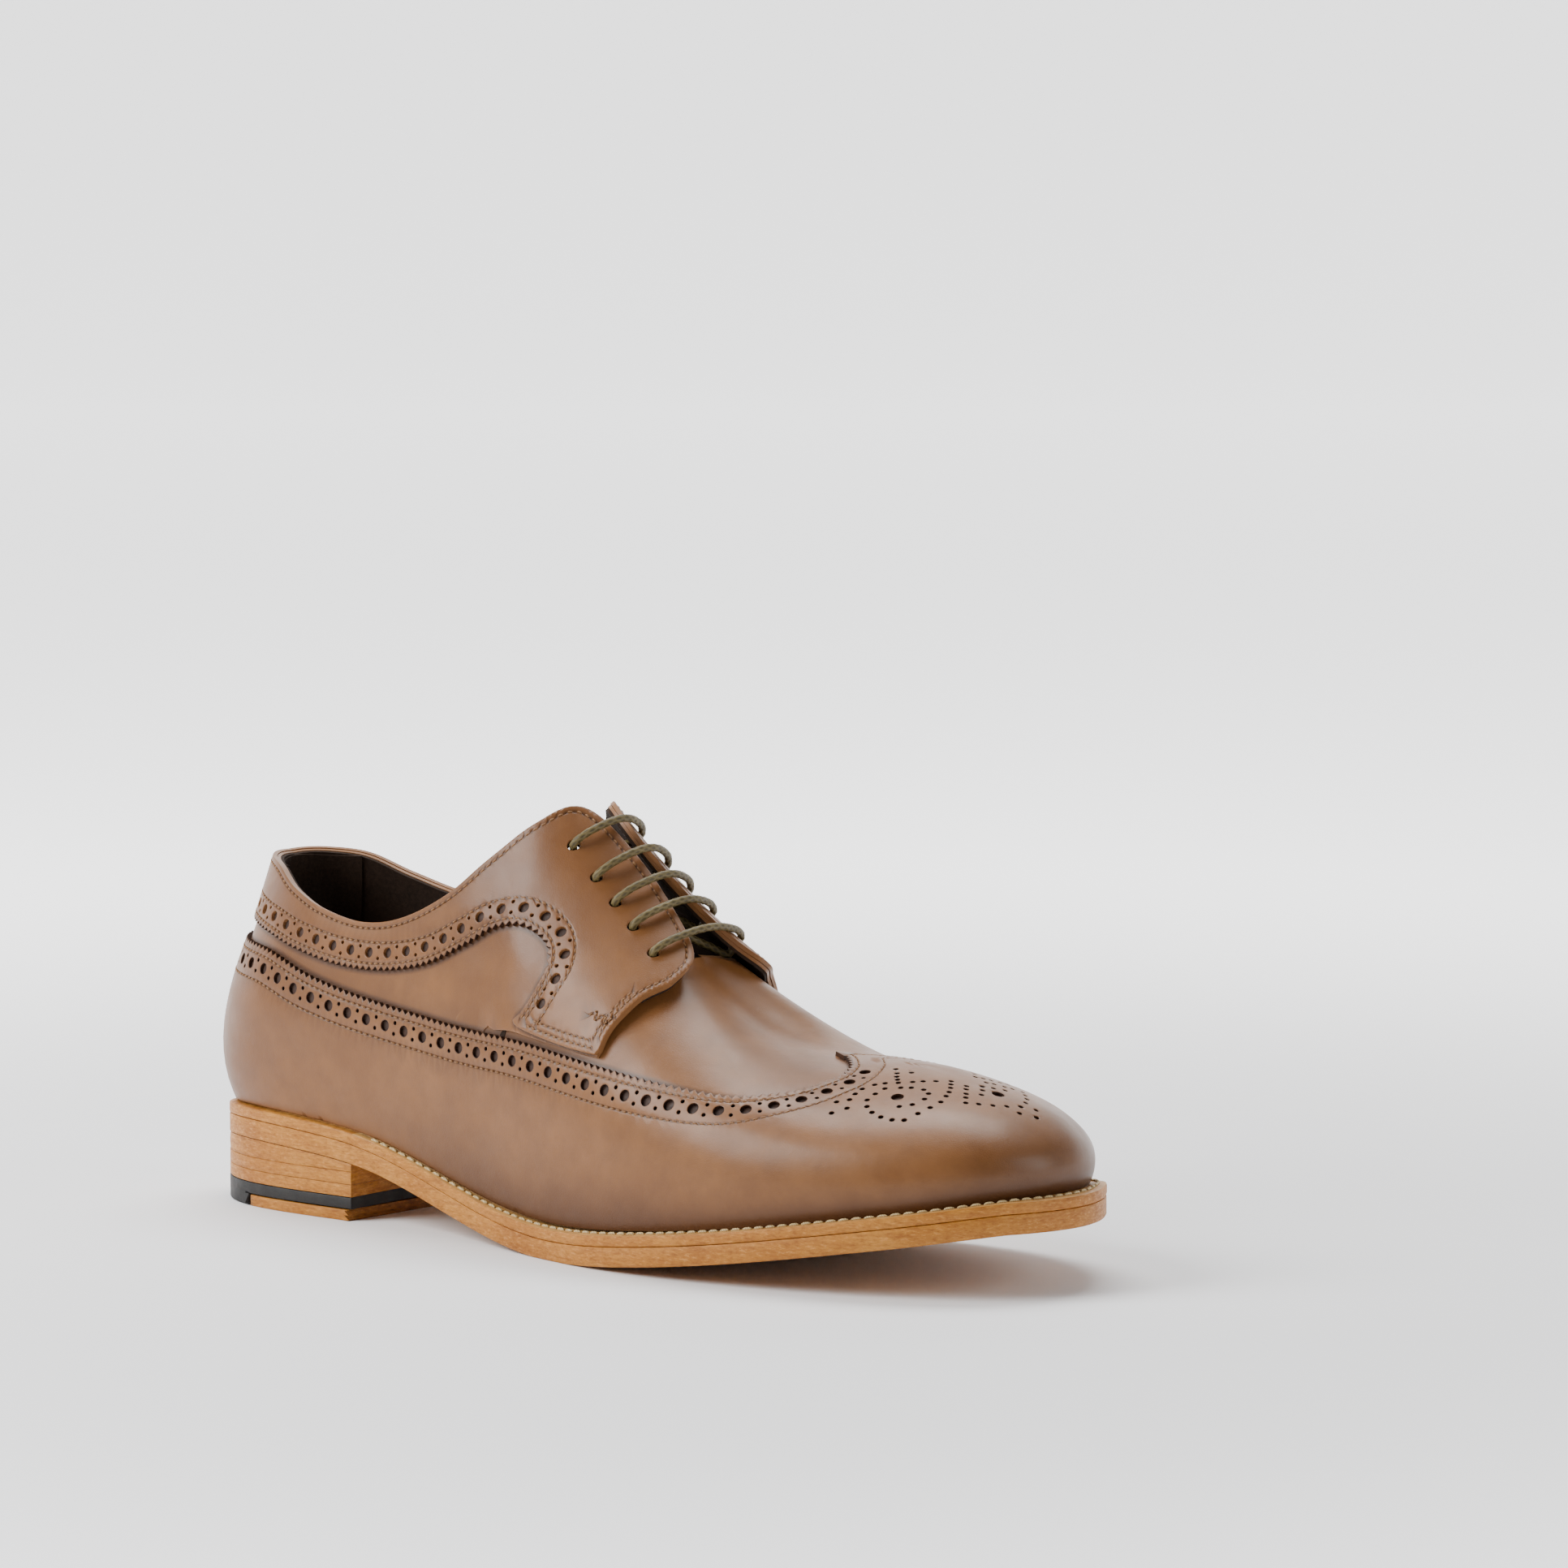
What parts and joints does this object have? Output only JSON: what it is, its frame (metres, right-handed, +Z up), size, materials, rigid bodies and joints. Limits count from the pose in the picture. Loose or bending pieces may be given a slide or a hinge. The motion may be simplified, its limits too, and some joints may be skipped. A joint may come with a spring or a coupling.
{
  "type": "leather shoe",
  "caption": "Right-foot open-laced leather dress shoe with long brogued wings, punched facings, round lace, stitched welt, leather sole and stacked heel.",
  "frame": {"origin": "the middle of the heel's bottom face, on the ground", "axes": "+X from heel to toe, +Y to the wearer's left (the inner side of this right shoe), +Z up"},
  "size_m": [0.3002, 0.1047, 0.1211],
  "materials": {
    "calf_tan": "polished calf, satin",
    "lining_brown": "soft brushed leather",
    "board": "fibre board",
    "sole_leather": "vegetable tanned, waxed edge",
    "thread": "waxed thread",
    "cork": "granulated cork",
    "steel": "sprung steel",
    "rubber_black": "moulded rubber",
    "brass_pin": "brass",
    "lace_cotton": "waxed braided cotton",
    "lace_tip_plastic": "clear-coated plastic"
  },
  "bodies": {
    "shoe": {"long_wing": "calf_tan", "vamp": "calf_tan", "quarter_lateral": "calf_tan", "quarter_medial": "calf_tan", "facing_lateral": "calf_tan", "facing_medial": "calf_tan", "facing_lining_lateral": "lining_brown", "facing_lining_medial": "lining_brown", "quarter_lining_lateral": "lining_brown", "quarter_lining_medial": "lining_brown", "heel_grip": "lining_brown", "vamp_lining": "lining_brown", "heel_stiffener": "board", "toe_puff": "board", "insock": "lining_brown", "insole": "sole_leather", "insole_rib": "thread", "cork_filler": "cork", "shank": "steel", "welt": "sole_leather", "heel_rand": "sole_leather", "outsole": "sole_leather", "welt_stitching": "thread", "heel_seat_lift": "sole_leather", "heel_middle_lift": "sole_leather", "heel_lower_lift": "sole_leather", "heel_rubber_top_piece": "rubber_black", "heel_leather_inlay": "sole_leather", "heel_nails": "brass_pin", "lace": "lace_cotton", "lace_tips": "lace_tip_plastic"},
    "tongue": {"tongue": "calf_tan", "tongue_lining": "lining_brown"}
  },
  "joints": [
    {"name": "tongue_hinge", "type": "hinge", "parent": "shoe", "child": "tongue", "pos_m": [0.138, -0.001, 0.072], "axis": [0, -1, 0], "range_deg": [0, 12], "stiffness_Nm_per_rad": 0.05, "springref_deg": -5.73}
  ]
}
